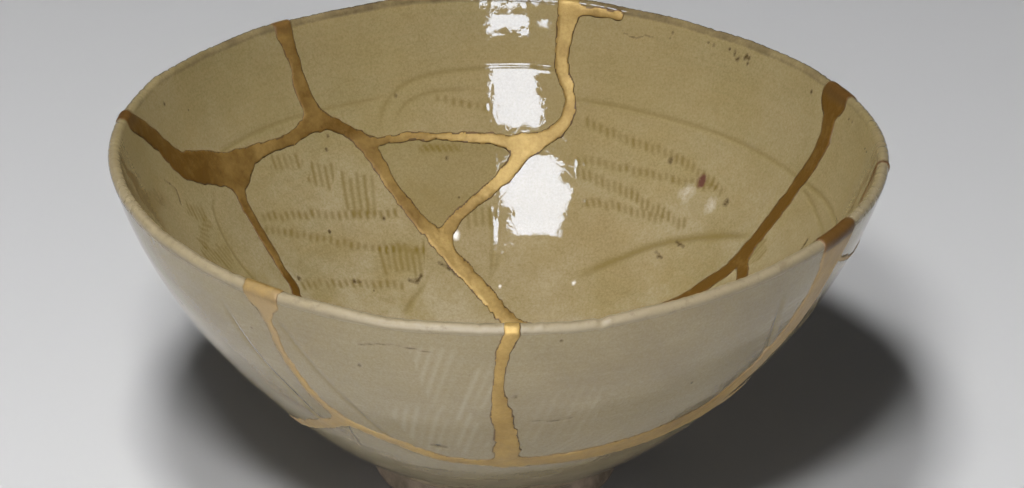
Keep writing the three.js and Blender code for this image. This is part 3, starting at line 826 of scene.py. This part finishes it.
class Graph:
    """The nodes of one material, and the colour that its layers have made so far."""

    def __init__(self, name):
        self.material = bpy.data.materials.new(name)
        self.material.use_nodes = True
        self.nodes = self.material.node_tree.nodes
        self.shader = self.nodes["Principled BSDF"]
        self.colour = None

    def feed(self, socket, value):
        """Links an output to a socket, or sets the socket to a plain value."""
        if isinstance(value, Value):
            self.material.node_tree.links.new(value.socket, socket)
        else:
            socket.default_value = value

    def value(self, kind, output, inputs=None, **settings):
        """Adds a node and gives one of its outputs."""
        made = self.nodes.new(kind)
        for key, setting in settings.items():
            setattr(made, key, setting)
        for socket, fed in (inputs or {}).items():
            self.feed(made.inputs[socket], fed)
        return Value(self, made.outputs[output])

    def surface(self, **values):
        """Feeds sockets of the shader; an underscore in a name stands for a space."""
        for name, value in values.items():
            self.feed(self.shader.inputs[name.replace("_", " ")], value)

    @functools.cached_property
    def place(self):
        return self.value("ShaderNodeTexCoord", "Object")

    def attribute(self, name):
        return self.value("ShaderNodeAttribute", "Fac", attribute_name=name)

    def maths(self, operation, *values):
        return self.value("ShaderNodeMath", 0, dict(enumerate(values)), operation=operation)

    def vector(self, operation, *values):
        output = "Value" if operation == "DOT_PRODUCT" else "Vector"
        return self.value("ShaderNodeVectorMath", output, dict(enumerate(values)), operation=operation)

    def mix(self, factor, a, b):
        first, second = [(*value, 1) if isinstance(value, tuple) else value for value in (a, b)]
        return self.value("ShaderNodeMix", 2, {"Factor": factor, 6: first, 7: second}, data_type="RGBA")

    def paint(self, factor, colour):
        """Lays a colour over what is there, as strongly as the factor says."""
        self.colour = self.mix(factor, self.colour, colour)

    def noise(self, scale, detail, roughness, place=None):
        sockets = {"Vector": place or self.place, "Scale": scale, "Detail": detail, "Roughness": roughness}
        return self.value("ShaderNodeTexNoise", "Fac", sockets)

    def ramp(self, value, low, high, to_low=0.0, to_high=1.0):
        """Stretches the range from low to high to another one, and holds its ends."""
        sockets = {"Value": value, "From Min": low, "From Max": high, "To Min": to_low, "To Max": to_high}
        return self.value("ShaderNodeMapRange", "Result", sockets)

    def layer(self, name, place=None):
        *look, low, high = LAYERS[name]
        return self.ramp(self.noise(*look, place), low, high)

    def bump(self, height, strength, distance):
        sockets = {"Height": height, "Strength": strength, "Distance": distance}
        self.surface(Normal=self.value("ShaderNodeBump", "Normal", sockets))


# Layers of noise: scale, detail, roughness, and the stretch of it that runs from nothing to full
LAYERS = {
    "mottle": (38, 5, 0.6, 0.36, 0.66),
    "thrown": (1.0, 3, 0.6, 0.35, 0.7),
    "clouds": (55, 4, 0.65, 0.38, 0.62),
    "warm": (17, 3, 0.5, 0.45, 0.72),
    "smudges": (32, 5, 0.65, 0.5, 0.72),
    "veils": (0.6, 4, 0.6, 0.5, 0.75),
    "grain": (1900, 3, 0.8, 0.34, 0.68),
    "lip_spots": (420, 5, 0.7, 0.54, 0.66),
    "clay": (170, 6, 0.7, 0.4, 0.62),
    "gold_patches": (130, 6, 0.7, 0.38, 0.66),
    "gold_grain": (1400, 3, 0.7, 0.35, 0.8),
}

# Colours of the glaze
GLAZE_OLIVE = (0.215, 0.17, 0.083)
GLAZE_GREEN = (0.178, 0.145, 0.068)
GLAZE_WARM = (0.235, 0.176, 0.09)
GLAZE_GREY = (0.205, 0.172, 0.115)
GLAZE_PALE = (0.31, 0.27, 0.195)
GLAZE_SMUDGE = (0.13, 0.10, 0.062)
GLAZE_POOLED = (0.118, 0.085, 0.02)
LIP_BISCUIT = (0.172, 0.142, 0.092)
# White of the painted highlights on the chips, and of the pale haze
GLINT_AND_HAZE_WHITE = (0.62, 0.60, 0.56)
# Brown of the specks on the worn lip, and of the painted shade along the back of the lip
LIP_SPECK_AND_SHADE = (0.06, 0.042, 0.022)
IRON_SPECK = (0.06, 0.04, 0.015)
RUST = (0.085, 0.036, 0.024)
CLAY_BROWN = (0.085, 0.066, 0.044)
CLAY_PINK = (0.19, 0.145, 0.105)

# How strongly the layers of the glaze show, and how far the throwing lines are drawn out
THROWN_STRETCH = (60, 60, 1500)
THROWN_SHARE = 0.4
CLOUDS_LOW, CLOUDS_HIGH = 0.015, 0.055
WARM_SHARE = 0.55
OUTSIDE_SHARE = 0.62
VEIL_SHARE = 0.16
CRACKLE_SCALE = 420.0
CRACKLE_SHARE = 0.2
GRAIN_SHARE = 0.46
SPECK_SCALE = 150.0
SPECK_CHANCE = 0.62
SPECK_SHARE = 0.75
LIP_SHARE = 0.7
GLAZE_ROUGHNESS = (0.01, 0.035)
LIP_ROUGHNESS = 0.42
CLAY_ROUGHNESS = 0.6


def celadon_material():
    glaze = Graph("celadon_glaze")
    mottle = glaze.layer("mottle")
    glaze.colour = glaze.mix(mottle, GLAZE_OLIVE, GLAZE_GREEN)
    # Fine throwing lines run round the bowl, and paler clouds lie low in it
    stretched = glaze.vector("MULTIPLY", glaze.place, THROWN_STRETCH)
    glaze.paint(glaze.layer("thrown", stretched) * THROWN_SHARE, GLAZE_WARM)
    height = glaze.value("ShaderNodeSeparateXYZ", 2, {0: glaze.place})
    low = glaze.ramp(height, CLOUDS_HIGH, CLOUDS_LOW)
    glaze.paint(glaze.layer("clouds") * (low * 0.55 + 0.14), GLAZE_PALE)
    glaze.paint(glaze.layer("warm") * WARM_SHARE, GLAZE_WARM)
    # The outside is thinner and greyer: the face's normal tells which way it looks
    radial = glaze.vector("NORMALIZE", glaze.vector("MULTIPLY", glaze.place, (1, 1, 0)))
    normal = glaze.value("ShaderNodeNewGeometry", "Normal")
    outside = glaze.ramp(glaze.vector("DOT_PRODUCT", radial, normal), -0.2, 0.2)
    glaze.paint(outside * OUTSIDE_SHARE, GLAZE_GREY)
    glaze.paint(glaze.layer("smudges") * (outside * 0.4 + 0.16), GLAZE_SMUDGE)
    glaze.paint(glaze.layer("veils", stretched) * (outside * VEIL_SHARE), GLAZE_PALE)
    # Fine crackle and grain
    cells = {"Vector": glaze.place, "Scale": CRACKLE_SCALE}
    edge = glaze.value("ShaderNodeTexVoronoi", "Distance", cells, feature="DISTANCE_TO_EDGE")
    crackle = glaze.ramp(edge, 0.0, 0.06, 1.0, 0.0) * (mottle * CRACKLE_SHARE)
    glaze.paint(crackle, GLAZE_POOLED)
    glaze.paint(glaze.layer("grain") * GRAIN_SHARE, GLAZE_POOLED)
    # Glaze that pooled in cuts, and that ran thin where the value is below zero
    pool = glaze.attribute("pool")
    glaze.paint(glaze.ramp(pool, 0.0, 1.0), GLAZE_POOLED)
    glaze.paint(glaze.ramp(pool, 0.0, -1.0), GLAZE_PALE)
    # Iron specks and pinholes, in some of the cells only
    cells = {"Vector": glaze.place, "Scale": SPECK_SCALE, "Randomness": 1.0}
    from_middle = glaze.value("ShaderNodeTexVoronoi", "Distance", cells)
    lot = glaze.value("ShaderNodeSeparateColor", 0, {"Color": from_middle.sibling("Color")})
    specks = glaze.ramp(from_middle, 0.035, 0.06, 1.0, 0.0) * glaze.maths("GREATER_THAN", lot, SPECK_CHANCE)
    glaze.paint(specks * SPECK_SHARE, IRON_SPECK)
    # Worn lip with brown specks, and a thin line of painted shade along the back of the lip
    ragged = glaze.noise(160, 5, 0.7)
    lip = glaze.ramp(glaze.attribute("lip") + ragged * 0.5, 0.75, 1.25)
    glaze.paint(lip * LIP_SHARE, glaze.mix(glaze.layer("lip_spots") * 0.6, LIP_BISCUIT, LIP_SPECK_AND_SHADE))
    # Painted shade along the back of the lip
    glaze.paint(glaze.ramp(glaze.attribute("stain") * ragged, 0.15, 0.6), LIP_SPECK_AND_SHADE)
    # Pits and patches of painted shade in dark, painted white highlights on the chips and pale haze where the
    # value is below zero, and rust, all broken up by a fine noise
    speckled = glaze.noise(800, 3, 0.7) * 1.6 + 0.05
    spot = glaze.attribute("spot") * speckled
    glaze.paint(glaze.ramp(spot, 0.25, 0.8), IRON_SPECK)
    # Painted white highlights on the chips, and pale haze
    glaze.paint(glaze.ramp(spot, -0.1, -0.75), GLINT_AND_HAZE_WHITE)
    glaze.paint(glaze.ramp(glaze.attribute("rust") * speckled, 0.2, 0.6), RUST)
    # Bare clay of the foot
    clay = glaze.ramp(glaze.attribute("clay") + ragged * 0.6, 0.85, 1.05)
    glaze.paint(clay, glaze.mix(glaze.layer("clay"), CLAY_BROWN, CLAY_PINK))
    rough = glaze.ramp(glaze.noise(70, 4, 0.6), 0.0, 1.0, *GLAZE_ROUGHNESS)
    glaze.surface(Base_Color=glaze.colour, Roughness=rough + lip * LIP_ROUGHNESS + clay * CLAY_ROUGHNESS)
    relief_height = glaze.noise(340, 2.5, 0.5) + clay * glaze.noise(700, 4, 0.8) - specks * 0.6
    relief_height = relief_height + lip * (glaze.noise(520, 5, 0.75) * 3.0) - crackle * 0.6
    glaze.bump(relief_height, strength=0.085, distance=0.0004)
    return glaze.material


# Colours of the gold and the lacquer
GOLD_BRIGHT = (0.41, 0.272, 0.088)
# Colour of the painted shade on the gold, and of its grain
GOLD_SHADE_AND_GRAIN = (0.118, 0.058, 0.008)
LACQUER_BROWN = (0.068, 0.033, 0.007)
GOLD_THIN = (0.25, 0.185, 0.105)
LACQUER_DARK = (0.08, 0.042, 0.012)
GOLD_METALLIC = 0.56
GOLD_ROUGHNESS = (0.34, 0.62)


def gold_material():
    gold = Graph("gold_lacquer")
    patches = gold.layer("gold_patches")
    gold_shade, thinned = gold.attribute("gold_shade"), gold.attribute("thin")
    # Painted shade darkens the gold at the sides, mixed with patches
    gold.colour = gold.mix(gold.ramp(gold_shade + patches * 0.55, 0.0, 1.1), GOLD_BRIGHT, GOLD_SHADE_AND_GRAIN)
    gold.paint(gold.layer("gold_grain") * 0.3, GOLD_SHADE_AND_GRAIN)
    bare = gold.ramp(gold.attribute("bare") + patches * 0.25, 0.35, 0.95)
    gold.paint(bare, LACQUER_BROWN)
    thin = thinned * gold.ramp(patches, -0.5, 0.6)
    gold.paint(thin, GOLD_THIN)
    edge = gold.ramp(gold.attribute("edge"), 0.35, 0.65)
    gold.paint(edge * gold.maths("SUBTRACT", 1.0, thinned), LACQUER_DARK)
    plain = gold.maths("MAXIMUM", gold.maths("MAXIMUM", edge, bare), thin)
    # Painted shade also makes the gold less metallic
    metal = gold.ramp(plain + gold_shade * 0.35, 0.0, 1.0, GOLD_METALLIC, 0.0)
    rough = gold.ramp(gold.noise(240, 5, 0.6), 0.0, 1.0, *GOLD_ROUGHNESS)
    gold.surface(Base_Color=gold.colour, Metallic=metal, Roughness=rough)
    gold.bump(gold.noise(420, 6, 0.65), strength=0.55, distance=0.0003)
    return gold.material


# Gold network: a grid over the whole wall, kept where the seam field is negative and snapped to its edge
GOLD_PROUD = 0.22
GOLD_LEAST = 0.05
GOLD_SUNK = 0.5
OUTLINE_WIDTH = 0.18
LARGEST_MOVE = 0.7
# Where the gold is painted darker and less metallic as shade at the sides, and where it is worn off at the
# lip: azimuth, strength, spread in degrees
SHADED_GOLD_SIDES = [(172, 0.9, 34), (24, 0.95, 26), (-14, 1.0, 24), (126, 0.62, 16)]
BARE_CROSSINGS = [
    (172, 1.0, 6), (128.2, 0.75, 5), (23, 0.9, 7), (-31.8, 1.0, 9), (-6, 1.0, 4), (-125, 0.4, 9),
]
# Waves of the gold's edges, of its dark outline and of the brushed surface, as wave_layers takes them
EDGE_WAVES = [(0.11, 4.2, 12, 41), (0.045, 1.5, 12, 42)]
OUTLINE_WAVES = [(0.7, 9, 7, 43)]
BRUSHED_WAVES = [(0.012, 3.2, 12, 44), (0.03, 11, 9, 45)]
# The hair-thin line round the chip is bare of gold: its middle and half its turn in degrees, and its depth
CHIP_LINE = (-17, 12.5)
CHIP_LINE_DEPTH = 14


def gold_grid():
    """Rings from the outer foot edge up over the lip and down to the inner floor edge."""
    arcs_up = np.linspace(0, ARC_LENGTH, GOLD_WALL_STEPS + 1)
    lip_arc = math.pi * LIP_THICKNESS / 2
    turns = np.arange(1, GOLD_LIP_STEPS) * math.pi / GOLD_LIP_STEPS
    over = ARC_LENGTH + lip_arc / math.pi * np.minimum(turns, math.pi - turns)
    field_arc = np.concatenate([arcs_up, over, arcs_up[::-1]])
    wall_up = u_at_arc(arcs_up)
    outer, along, out = outer_curve(wall_up)
    inner = offset_curve(wall_up, thickness_at(wall_up))
    directions = out[-1] * np.cos(turns)[:, None] + along[-1] * np.sin(turns)[:, None]
    lip = outer[-1] + (directions - out[-1]) * LIP_THICKNESS / 2
    section = np.vstack([outer, lip, inner[::-1]])
    normals = np.vstack([out, directions, -out[::-1]])
    run = np.concatenate([[0], np.cumsum(np.linalg.norm(np.diff(section, axis=0), axis=1))])
    return field_arc, section, normals, run


def gold_looks(azimuth, field_arc, inner_side, full):
    """The values that tint the gold: its edge, where painted shade darkens it, and where it is bare or rubbed
    thin.
    """
    gold_shade, bare = np.zeros_like(full), np.zeros_like(full)
    for az, strength, spread in SHADED_GOLD_SIDES:
        near = np.exp(-spreads_from(azimuth, az, spread) ** 2)[None, :]
        gold_shade = np.maximum(gold_shade, strength * near * np.where(inner_side, 1.0, 0.12))
    # Lacquer worn bare of gold where a seam crosses the lip
    from_lip = np.clip(ARC_LENGTH - field_arc, 0, None)[:, None]
    near_lip = np.exp(-(from_lip / np.where(inner_side, 2.2, 1.1)) ** 2)
    for az, strength, spread in BARE_CROSSINGS:
        near = np.exp(-spreads_from(azimuth, az, spread) ** 4)[None, :]
        bare = np.maximum(bare, strength * near * near_lip)
    chip_line = (np.abs(spreads_from(azimuth, *CHIP_LINE)) < 1)[None, :]
    bare = np.maximum(bare, 0.9 * chip_line * inner_side * (from_lip < CHIP_LINE_DEPTH))
    # The gold of the outer left and right seams, and less so of the low one, has rubbed thin
    left = np.clip(-spreads_from(azimuth, -97, 8), 0, 1) * (spreads_from(azimuth, -97, 80) > -1)
    right = np.exp(-spreads_from(azimuth, -33, 9) ** 4)
    low = np.clip((50 - field_arc) / 10, 0, 1)[:, None]
    rubbed = np.maximum(np.maximum(0.62 * left, 0.66 * right)[None, :], 0.3 * low)
    thin = np.where(inner_side, 0.0, rubbed * (1 - bare))
    edge = np.clip((full + 0.05) / 0.1 + 0.5, 0, 1)
    return {"edge": edge, "gold_shade": gold_shade, "bare": bare, "thin": thin}


def gold_mesh():
    azimuth = np.arange(GOLD_ROUND_STEPS) * 2 * math.pi / GOLD_ROUND_STEPS
    field_arc, section, normals, run = gold_grid()
    unique_arc, back = np.unique(field_arc.round(6), return_inverse=True)
    full = seam_field(azimuth, unique_arc)[back]
    round_way = azimuth[None, :] * RIM_RADIUS
    up = run[:, None]
    full = full + wave_layers(round_way, up, EDGE_WAVES)
    outline = OUTLINE_WIDTH * np.clip(0.5 + wave_layers(round_way, up, OUTLINE_WAVES), 0.0, 1.3)
    reach = full - outline
    # Snap the ring of outside points onto the outline's edge
    radius = np.maximum(section[:, 0], 1.0)[:, None]
    step_round = 2 * math.pi / GOLD_ROUND_STEPS
    grad_round = (np.roll(reach, -1, 1) - np.roll(reach, 1, 1)) / (2 * step_round * radius)
    grad_run = np.gradient(reach, run, axis=0)
    steep = np.maximum(np.hypot(grad_round, grad_run), 0.5)
    inside = reach < 0
    near = inside.copy()
    for turn in (-1, 0, 1):
        rolled = np.roll(inside, turn, 1)
        near |= rolled
        near[1:] |= rolled[:-1]
        near[:-1] |= rolled[1:]
    move = np.where(near & ~inside, np.clip(reach, 0, LARGEST_MOVE) / steep, 0)
    new_azimuth = azimuth[None, :] - move * grad_round / steep / radius
    new_run = up - move * grad_run / steep
    profile = (*section.T, *normals.T)
    point_r, point_z, normal_r, normal_z = [np.interp(new_run, run, column) for column in profile]
    dome = np.sqrt(np.clip(1 - (1 - np.clip(-full, 0, 1)) ** 2, 0, 1))
    height = (GOLD_PROUD + wave_layers(round_way, up, BRUSHED_WAVES)) * dome + GOLD_LEAST
    inner_side = (np.arange(len(run)) > len(run) // 2)[:, None]

    def place(lift):
        z = point_z + lift * normal_z
        z = np.where(inner_side, ease_to_floor(z), z)
        return warp_point(point_r + lift * normal_r, z, new_azimuth).reshape(-1, 3)

    # Faces of the top, the same ones turned over at the bottom, and a skirt along their borders
    keep = inside[:-1] | inside[1:]
    rows, columns = np.nonzero(keep | np.roll(keep, -1, 1))
    low_ring, high_ring = rows * GOLD_ROUND_STEPS, (rows + 1) * GOLD_ROUND_STEPS
    quad = quads_between(low_ring, high_ring, columns, (columns + 1) % GOLD_ROUND_STEPS)
    total = full.size
    starts = quad.T.ravel().astype(np.int64)
    ends = np.roll(quad, -1, 1).T.ravel().astype(np.int64)
    border = ~np.isin(starts * total + ends, ends * total + starts)
    start, end = starts[border], ends[border]
    skirt = np.stack([end, start, start + total, end + total], 1)
    looks = gold_looks(azimuth, field_arc, inner_side, full)
    values = {name: np.tile(look.ravel(), 2) for name, look in looks.items()}
    points = np.vstack([place(height), place(np.full_like(height, -GOLD_SUNK))])
    return make_mesh("gold_network", points, values, np.vstack([quad, quad[:, ::-1] + total, skirt]))


# Build the sherds
blocks, detail = build_blocks()
labels = label_cells()
quads, quad_owners, eights, eight_owners = sherd_faces(blocks, labels, detail)
all_points = np.vstack([block["points"].reshape(-1, 3) for block in blocks.values()])
all_values = {}
for name in ATTRIBUTES:
    all_values[name] = np.concatenate([block[name].ravel() for block in blocks.values()])
celadon = celadon_material()
for number, name in enumerate(SHERDS, start=1):
    values = dict(all_values, pool=all_values["pool"] + SHERD_TONES.get(name, 0.0))
    own_faces = quads[quad_owners == number], eights[eight_owners == number]
    sherd = make_mesh(name + "_glazed", all_points, values, *own_faces)
    sherd.data.materials.append(celadon)
    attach(sherd, "root")
    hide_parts(name)

gold_piece = gold_mesh()
gold_piece.data.materials.append(gold_material())
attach(gold_piece, "root")
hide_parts("gold_lacquer_seams")


# Stage: a pale seamless floor; half its side is in metres, and its drop under the foot in millimetres
FLOOR_HALF = 4.0
FLOOR_DROP = 0.2
FLOOR_GREY = (0.40, 0.40, 0.403, 1)
FLOOR_ROUGHNESS = 0.85


def make_floor():
    mesh = bpy.data.meshes.new("studio_floor")
    ways = ((-1, -1), (1, -1), (1, 1), (-1, 1))
    corners = [(x * FLOOR_HALF, y * FLOOR_HALF, -FLOOR_DROP * MM) for x, y in ways]
    mesh.from_pydata(corners, [], [(0, 1, 2, 3)])
    floor = add_object("studio_floor", mesh)
    paper = Graph("studio_paper")
    paper.surface(Base_Color=FLOOR_GREY, Roughness=FLOOR_ROUGHNESS)
    mesh.materials.append(paper.material)


def stand(right, up, back, place):
    """The matrix of an object at a place, with its own three axes along the given directions."""
    return Matrix.Translation(place) @ Matrix((right, up, back)).transposed().to_4x4()


make_floor()

# Camera: fitted to the outline of the bowl in the photograph
CAMERA_ELEVATION = math.radians(25.19)
CAMERA_ROLL = math.radians(0.68)
CAMERA_DISTANCE = 900.0
PIXELS_PER_MM = 4.814
TARGET_PIXEL = (498.8, 150.9)
PHOTO_SIZE = (1024, 488)
SENSOR_WIDTH = 36.0

forward = Vector((0, math.cos(CAMERA_ELEVATION), -math.sin(CAMERA_ELEVATION)))
level_up = Vector((0, math.sin(CAMERA_ELEVATION), math.cos(CAMERA_ELEVATION)))
level_right = Vector((1, 0, 0))
right = math.cos(CAMERA_ROLL) * level_right + math.sin(CAMERA_ROLL) * level_up
up = -math.sin(CAMERA_ROLL) * level_right + math.cos(CAMERA_ROLL) * level_up
target = Vector((0, 0, BOWL_HEIGHT * MM))
eye = target - forward * CAMERA_DISTANCE * MM
camera_data = bpy.data.cameras.new("camera")
camera = add_object("camera", camera_data)
camera.matrix_world = stand(right, up, -forward, eye)
camera_data.sensor_width = SENSOR_WIDTH
camera_data.lens = PIXELS_PER_MM * CAMERA_DISTANCE / PHOTO_SIZE[0] * SENSOR_WIDTH
camera_data.shift_x = (PHOTO_SIZE[0] / 2 - TARGET_PIXEL[0]) / PHOTO_SIZE[0]
camera_data.shift_y = (TARGET_PIXEL[1] - PHOTO_SIZE[1] / 2) / PHOTO_SIZE[0]
bpy.context.scene.camera = camera


# Lights
def area_light(name, place, aim, size, power, along=(0, 0, 1), gloss=True):
    """A rectangular light at a place, facing another, with its second side running along a direction."""
    data = bpy.data.lights.new(name, "AREA")
    data.shape = "RECTANGLE"
    data.size, data.size_y = size
    data.energy = power
    lamp = add_object(name, data)
    back = (Vector(place) - Vector(aim)).normalized()
    side = Vector(along).cross(back).normalized()
    lamp.matrix_world = stand(side, back.cross(side), back, Vector(place))
    lamp.visible_glossy = gloss


def mirror_direction(azimuth, depth):
    """Where the camera's ray goes after the glazed inner wall at a place, and that place, in metres."""
    azimuth = math.radians(azimuth)
    u = float(u_at_depth(depth, "inside"))
    tiny = 0.002

    def at(da, du):
        base = offset_curve(np.array([u + du]), thickness_at(np.array([u + du])))[0]
        return warp_point(base[0], base[1], azimuth + da)

    middle = at(0, 0)
    normal = Vector(np.cross(at(tiny, 0) - middle, at(0, -tiny) - middle)).normalized()
    place = Vector(middle) * MM
    ray = (place - eye).normalized()
    if normal.dot(ray) > 0:
        normal.negate()
    return place, ray - 2 * ray.dot(normal) * normal


# Softbox panes, each set where the glaze mirrors it on a stretch of the back wall, at a distance in metres.
# Their corners are azimuths in degrees and depths in millimetres on the inner wall
PANE_DISTANCE = 0.9
PANES = [
    ((92.2, 0.4), (85.1, 0.2), (84.9, 6.3), (92.3, 6.6)),
    ((92.1, 13.9), (84.5, 13.6), (81.4, 19), (81.7, 24.9), (88.8, 25.3), (91.2, 21.5)),
    ((82.8, 2), (81.2, 2), (81.2, 4.6), (82.8, 4.6)),
    ((88.7, 30.7), (78.9, 27.8), (73, 34.9), (73.8, 42.8), (85.4, 44.6), (88.9, 37.7)),
]
PANE_STRENGTH = 17.0
PANE_COLOUR = (0.77, 0.85, 1.0, 1)
PANE_RAGGED = 0.22
PANE_STEPS = 8


def softbox_pane(name, corners):
    points = []
    for (az0, depth0), (az1, depth1) in zip(corners, corners[1:] + corners[:1]):
        for k in range(PANE_STEPS):
            azimuth = az0 + (az1 - az0) * k / PANE_STEPS + rng.normal(0, PANE_RAGGED)
            depth = depth0 + (depth1 - depth0) * k / PANE_STEPS + rng.normal(0, PANE_RAGGED)
            place, direction = mirror_direction(azimuth, max(depth, 0.2))
            points.append(place + direction * PANE_DISTANCE)
    mesh = bpy.data.meshes.new(name)
    mesh.from_pydata([tuple(p) for p in points], [], [tuple(range(len(points)))])
    pane = add_object(name, mesh)
    light = Graph(name)
    light.nodes.remove(light.shader)
    glow = light.value("ShaderNodeEmission", 0, {"Strength": PANE_STRENGTH, "Color": PANE_COLOUR})
    light.feed(light.nodes["Material Output"].inputs["Surface"], glow)
    mesh.materials.append(light.material)
    pane.visible_camera = False
    pane.visible_diffuse = False


for number, corners in enumerate(PANES):
    softbox_pane(f"softbox_pane_{number}", corners)

# The tall strip light stands in front and above, a little to the left; low boxes light the outside all round
area_light("strip", (-0.114, -0.50, 0.79), (0, -0.22, 0.0), (0.15, 0.62), 55.0,
           along=(-0.05, 0.5, 0.35), gloss=False)
area_light("low_front", (-0.3, -1.6, 0.055), (0, 0, 0.05), (1.1, 0.1), 21.0)
area_light("low_back_left", (-1.35, 1.0, 0.055), (0, 0, 0.05), (0.9, 0.1), 8.0, gloss=False)
area_light("low_back_right", (1.35, 1.0, 0.055), (0, 0, 0.05), (0.9, 0.1), 8.0, gloss=False)
world = bpy.data.worlds.new("studio")
world.use_nodes = True
background = world.node_tree.nodes["Background"]
background.inputs["Color"].default_value = (0.78, 0.79, 0.82, 1)
background.inputs["Strength"].default_value = 0.025
bpy.context.scene.world = world
bpy.context.scene.view_settings.view_transform = "Standard"
